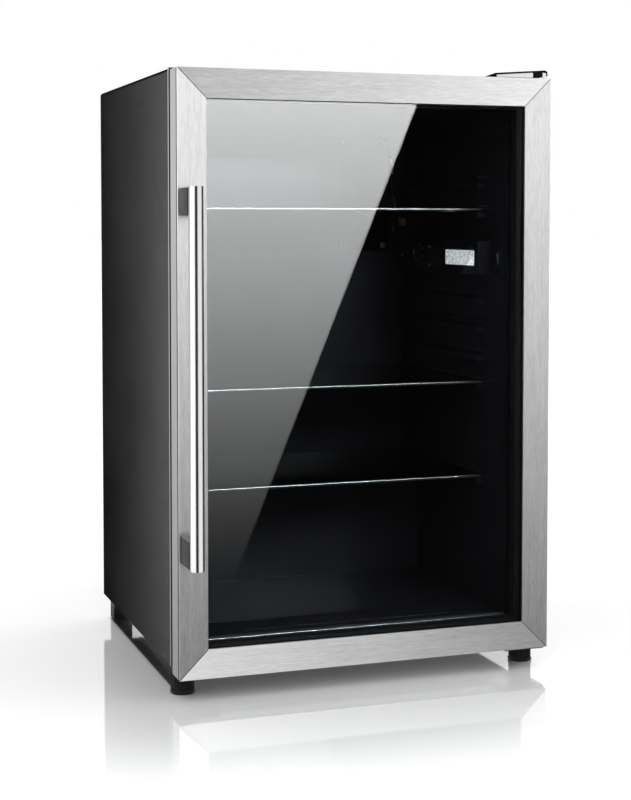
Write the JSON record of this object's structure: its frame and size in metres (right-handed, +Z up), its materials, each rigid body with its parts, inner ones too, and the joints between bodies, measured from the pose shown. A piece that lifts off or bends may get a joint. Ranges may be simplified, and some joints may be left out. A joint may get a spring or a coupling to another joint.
{
  "type": "mini fridge",
  "caption": "Black steel drinks cooler with a right-hung glass door in a mitred stainless frame, round bar handle, glass shelves, side control housing and rear compressor bay",
  "frame": {"origin": "centre of the overall box at floor level, the underside of the feet", "axes": "+Z up, the door faces -Y, +X to the viewer's right, where the door hinge is"},
  "size_m": [0.54, 0.5523, 0.851],
  "materials": {
    "black_painted_steel": "satin",
    "brushed_stainless": "satin",
    "silver_door_frame": "satin",
    "zinc_steel": "satin",
    "aluminium": "satin",
    "copper": "satin",
    "black_liner": "gloss",
    "black_plastic": "satin",
    "grey_plastic": "satin",
    "white_plastic": "satin",
    "insulation": "matte",
    "black_rubber": "matte",
    "door_glass": "polished",
    "smoked_glass": "polished",
    "lamp_lens": "satin",
    "circuit_board": "matte"
  },
  "bodies": {
    "cabinet": {"base_pan": "black_painted_steel", "bay_shroud": "zinc_steel", "bottom_hinge_bracket": "zinc_steel", "bottom_hinge_pin": "zinc_steel", "capillary_tube": "copper", "compressor_base": "zinc_steel", "compressor_mount_left": "black_rubber", "compressor_mount_right": "black_rubber", "compressor_shell": "black_painted_steel", "condensate_tray": "black_plastic", "condenser_coil": "copper", "control_housing": "black_plastic", "cord_gland": "black_rubber", "corner_bracket_left": "black_painted_steel", "discharge_pipe": "copper", "drain_tube": "grey_plastic", "evaporator_plate": "aluminium", "filter_drier": "copper", "foot_rear_left": "grey_plastic", "foot_rear_right": "grey_plastic", "front_frame": "black_painted_steel", "inner_liner": "black_liner", "insulation_foam": "insulation", "lamp_board": "circuit_board", "lamp_lens": "lamp_lens", "light_switch_bezel": "black_plastic", "outer_shell": "black_painted_steel", "rear_panel": "black_painted_steel", "starter_box": "black_plastic", "suction_pipe": "copper", "thermostat": "zinc_steel", "top_hinge_bracket": "zinc_steel", "top_hinge_cover": "black_plastic", "top_hinge_pin": "zinc_steel"},
    "door": {"door_backing": "black_plastic", "door_core": "silver_door_frame", "door_facing_bottom": "brushed_stainless", "door_facing_left": "brushed_stainless", "door_facing_right": "brushed_stainless", "door_facing_top": "brushed_stainless", "door_gasket": "black_rubber", "door_inner_frame": "black_plastic", "glass_inner": "door_glass", "glass_outer": "door_glass", "glass_spacer": "aluminium", "handle_post_bottom": "black_plastic", "handle_post_top": "black_plastic", "handle_tube": "brushed_stainless", "hinge_bushing_bottom": "white_plastic", "hinge_bushing_top": "white_plastic"},
    "shelf_low": {"shelf_glass_1": "smoked_glass", "shelf_trim_1": "aluminium"},
    "shelf_middle": {"shelf_glass_2": "smoked_glass", "shelf_trim_2": "aluminium"},
    "shelf_high": {"shelf_glass_3": "smoked_glass", "shelf_trim_3": "aluminium"},
    "cold_knob": {"thermostat_knob": "black_plastic"},
    "light_rocker": {"light_switch_rocker": "grey_plastic"},
    "levelling_foot_left": {"foot_front_left": "black_rubber"},
    "levelling_foot_right": {"foot_front_right": "black_rubber"}
  },
  "joints": [
    {"name": "door_hinge", "type": "hinge", "parent": "cabinet", "child": "door", "pos_m": [0.256, -0.19855, 0.03], "axis": [0, 0, 1], "range_deg": [0, 115]},
    {"name": "shelf_low_slide", "type": "slide", "parent": "cabinet", "child": "shelf_low", "axis": [0, -1, 0], "range_m": [0, 0.075]},
    {"name": "shelf_middle_slide", "type": "slide", "parent": "cabinet", "child": "shelf_middle", "axis": [0, -1, 0], "range_m": [0, 0.075]},
    {"name": "shelf_high_slide", "type": "slide", "parent": "cabinet", "child": "shelf_high", "axis": [0, -1, 0], "range_m": [0, 0.075]},
    {"name": "cold_knob_turn", "type": "hinge", "parent": "cabinet", "child": "cold_knob", "pos_m": [0.205, 0.10015, 0.584], "axis": [1, 0, 0], "range_deg": [-135, 135]},
    {"name": "light_rocker_tip", "type": "hinge", "parent": "cabinet", "child": "light_rocker", "pos_m": [0.2232, -0.15255, 0.584], "axis": [0, 1, 0], "range_deg": [0, 12]},
    {"name": "foot_left_height", "type": "slide", "parent": "cabinet", "child": "levelling_foot_left", "axis": [0, 0, -1], "range_m": [0, 0.012]},
    {"name": "foot_right_height", "type": "slide", "parent": "cabinet", "child": "levelling_foot_right", "axis": [0, 0, -1], "range_m": [0, 0.012]}
  ]
}
